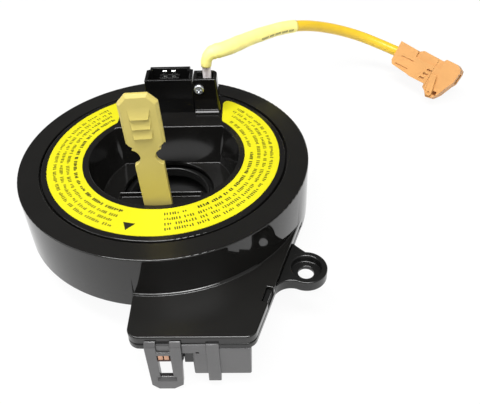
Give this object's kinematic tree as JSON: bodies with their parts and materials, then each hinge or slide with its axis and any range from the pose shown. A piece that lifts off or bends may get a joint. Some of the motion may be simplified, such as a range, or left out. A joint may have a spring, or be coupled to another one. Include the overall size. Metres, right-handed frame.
{
  "type": "steering clock spring",
  "caption": "Round steering clock spring with a D-shaped hub opening, a lug and harness sockets, a yellow label and lock tab, and a yellow airbag lead with its plug.",
  "frame": {"origin": "on the rotation axis at the underside of the drum, where the column sleeve starts", "axes": "+Z along the rotation axis towards the steering wheel, -Y towards the car harness sockets, +X towards the fixing lug"},
  "size_m": [0.1838, 0.164, 0.0852],
  "materials": {
    "gloss_black": "glossy moulded black plastic",
    "satin_black": "satin moulded black plastic",
    "matte_black": "fine textured black plastic",
    "white_plastic": "plain natural white plastic",
    "film_white": "thin slippery sheet",
    "ribbon_film": "pale flat cable film",
    "copper": "bare copper alloy",
    "tin": "tinned terminals",
    "screw_steel": "bright plated",
    "label_yellow": "printed yellow sheet",
    "tab_plastic": "dull yellow plastic",
    "sleeve_yellow": "soft pale yellow sleeve",
    "cable_yellow": "smooth yellow sheath",
    "plug_orange": "light orange plastic",
    "wire_white": "white insulation"
  },
  "bodies": {
    "housing": {"upper_housing": "gloss_black", "lower_cover": "satin_black", "harness_block": "matte_black", "harness_block_pins": "copper", "loop_socket": "matte_black", "loop_socket_pins": "copper", "stator_strips": "copper", "outer_ribbon_clip": "white_plastic", "lower_film": "film_white", "flat_cable": "ribbon_film"},
    "rotor": {"inner_ribbon_clip": "white_plastic", "upper_film": "film_white", "rotor": "gloss_black", "switch_socket": "matte_black", "switch_pins": "tin", "rotor_strips": "copper", "strip_carrier": "satin_black", "lead_cap": "gloss_black", "cap_screw": "screw_steel", "lead_terminals": "tin", "label": "label_yellow", "lead_wires": "wire_white", "lead_cable": "cable_yellow", "lead_sleeve": "sleeve_yellow", "plug_body": "plug_orange", "plug_cover": "plug_orange", "plug_latch": "plug_orange", "plug_terminals": "tin"},
    "lock_tab": {"lock_tab": "tab_plastic"}
  },
  "joints": [
    {"name": "rotor_spin", "type": "hinge", "parent": "housing", "child": "rotor", "pos_m": [0, 0, 0], "axis": [0, 0, 1], "range_deg": [-900, 900], "deforming": ["flat_cable"]},
    {"name": "lock_tab_pull", "type": "slide", "parent": "rotor", "child": "lock_tab", "axis": [-0.0436, 0, 0.999], "range_m": [0, 0.06]}
  ]
}
